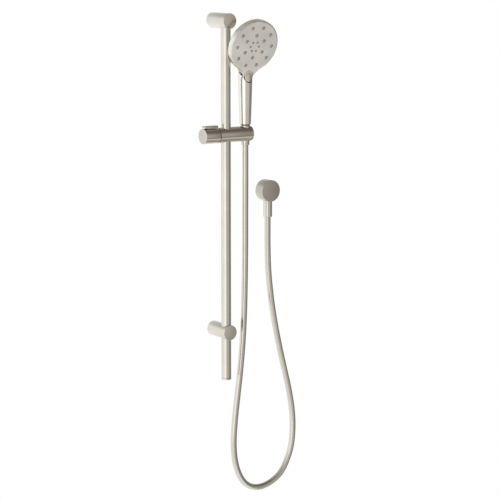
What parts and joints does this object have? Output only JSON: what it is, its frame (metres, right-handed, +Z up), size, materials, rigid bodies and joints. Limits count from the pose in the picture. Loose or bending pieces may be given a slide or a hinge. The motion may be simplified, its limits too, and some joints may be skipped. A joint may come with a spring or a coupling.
{
  "type": "rail shower set with handset",
  "caption": "Handset with a paddle face and press button on a sliding rail holder between round wall posts, with a smooth looping hose to a round wall elbow.",
  "frame": {"origin": "centre of the upper bracket's wall face", "axes": "+Z up along the rail, +Y into the wall, +X to the right as the user faces the wall"},
  "size_m": [0.2744, 0.1086, 1.102],
  "materials": {
    "brushed_nickel": "brushed warm nickel, satin",
    "plated_shell": "brushed warm nickel plating on moulded plastic",
    "hose_jacket": "smooth metallised plastic, satin",
    "brass_core": "machined brass",
    "screw_steel": "stainless",
    "dark_bush": "moulded acetal",
    "white_plastic": "moulded acetal",
    "nozzle_silicone": "matt silicone",
    "seal_rubber": "matt rubber"
  },
  "bodies": {
    "wall_set": {"rail_tube": "brushed_nickel", "rail_end_cap": "brushed_nickel", "upper_bracket_post": "brushed_nickel", "upper_wall_anchor": "brass_core", "upper_wall_screw": "screw_steel", "upper_rail_screw": "screw_steel", "upper_grub_screw": "screw_steel", "upper_rail_liner": "dark_bush", "lower_bracket_post": "brushed_nickel", "lower_wall_anchor": "brass_core", "lower_wall_screw": "screw_steel", "lower_rail_screw": "screw_steel", "lower_grub_screw": "screw_steel", "lower_rail_liner": "dark_bush", "elbow_cover": "brushed_nickel", "elbow_body": "brass_core", "elbow_wall_seal": "seal_rubber", "elbow_grub_screw": "screw_steel", "outlet_nut": "brushed_nickel", "outlet_check_valve": "white_plastic", "outlet_washer": "seal_rubber", "outlet_hose_tail": "brass_core", "hose": "hose_jacket"},
    "slider_bushes": {"slider_upper_bush": "dark_bush", "slider_lower_bush": "dark_bush"},
    "slider": {"slider_body": "brushed_nickel", "slider_cap": "brushed_nickel", "slider_cap_screw": "screw_steel", "release_spring": "screw_steel"},
    "release": {"release_tab": "brushed_nickel"},
    "brake": {"brake_shoe": "seal_rubber"},
    "hose_end": {"conical_nut": "brushed_nickel", "inlet_washer": "seal_rubber", "swivel_hose_tail": "brass_core"},
    "handset": {"handset_shell": "plated_shell", "face_plate": "plated_shell", "nozzle_mat": "nozzle_silicone", "distributor_plate": "white_plastic", "head_seal": "seal_rubber", "head_screw_1": "screw_steel", "head_screw_2": "screw_steel", "head_screw_3": "screw_steel", "button_spring": "screw_steel", "inlet_nipple": "brass_core", "inlet_filter": "screw_steel", "flow_limiter": "white_plastic", "water_tube": "white_plastic"},
    "button": {"mode_button": "plated_shell", "diverter_spool": "white_plastic"}
  },
  "joints": [
    {"name": "slider_height", "type": "slide", "parent": "wall_set", "child": "slider_bushes", "axis": [0, 0, 1], "range_m": [-0.4, 0.012], "deforming": ["hose"]},
    {"name": "slider_swivel", "type": "hinge", "parent": "slider_bushes", "child": "slider", "pos_m": [0, -0.052, -0.251], "axis": [0, 0, 1], "range_deg": [-30, 10], "deforming": ["hose"]},
    {"name": "release_press", "type": "slide", "parent": "slider", "child": "release", "axis": [0, 0, -1], "range_m": [0, 0.0016], "stiffness_N_per_m": 900, "springref_m": -0.003, "deforming": ["release_spring"]},
    {"name": "brake_slide", "type": "slide", "parent": "slider", "child": "brake", "axis": [-1, 0, 0], "range_m": [0, 0.0008]},
    {"name": "handset_lift", "type": "slide", "parent": "slider", "child": "hose_end", "axis": [0, 0, 1], "range_m": [0, 0.043], "deforming": ["hose"]},
    {"name": "handset_turn", "type": "hinge", "parent": "hose_end", "child": "handset", "pos_m": [0.052, -0.052, -0.24], "axis": [0, 0, 1], "range_deg": [0, 20]},
    {"name": "mode_press", "type": "slide", "parent": "handset", "child": "button", "axis": [0, 0.9444, 0.3289], "range_m": [0, 0.0014], "stiffness_N_per_m": 900, "springref_m": -0.003, "deforming": ["button_spring"]}
  ],
  "couplings": [
    {"joint": "brake_slide", "follows": "release_press", "ratio": 0.4}
  ]
}
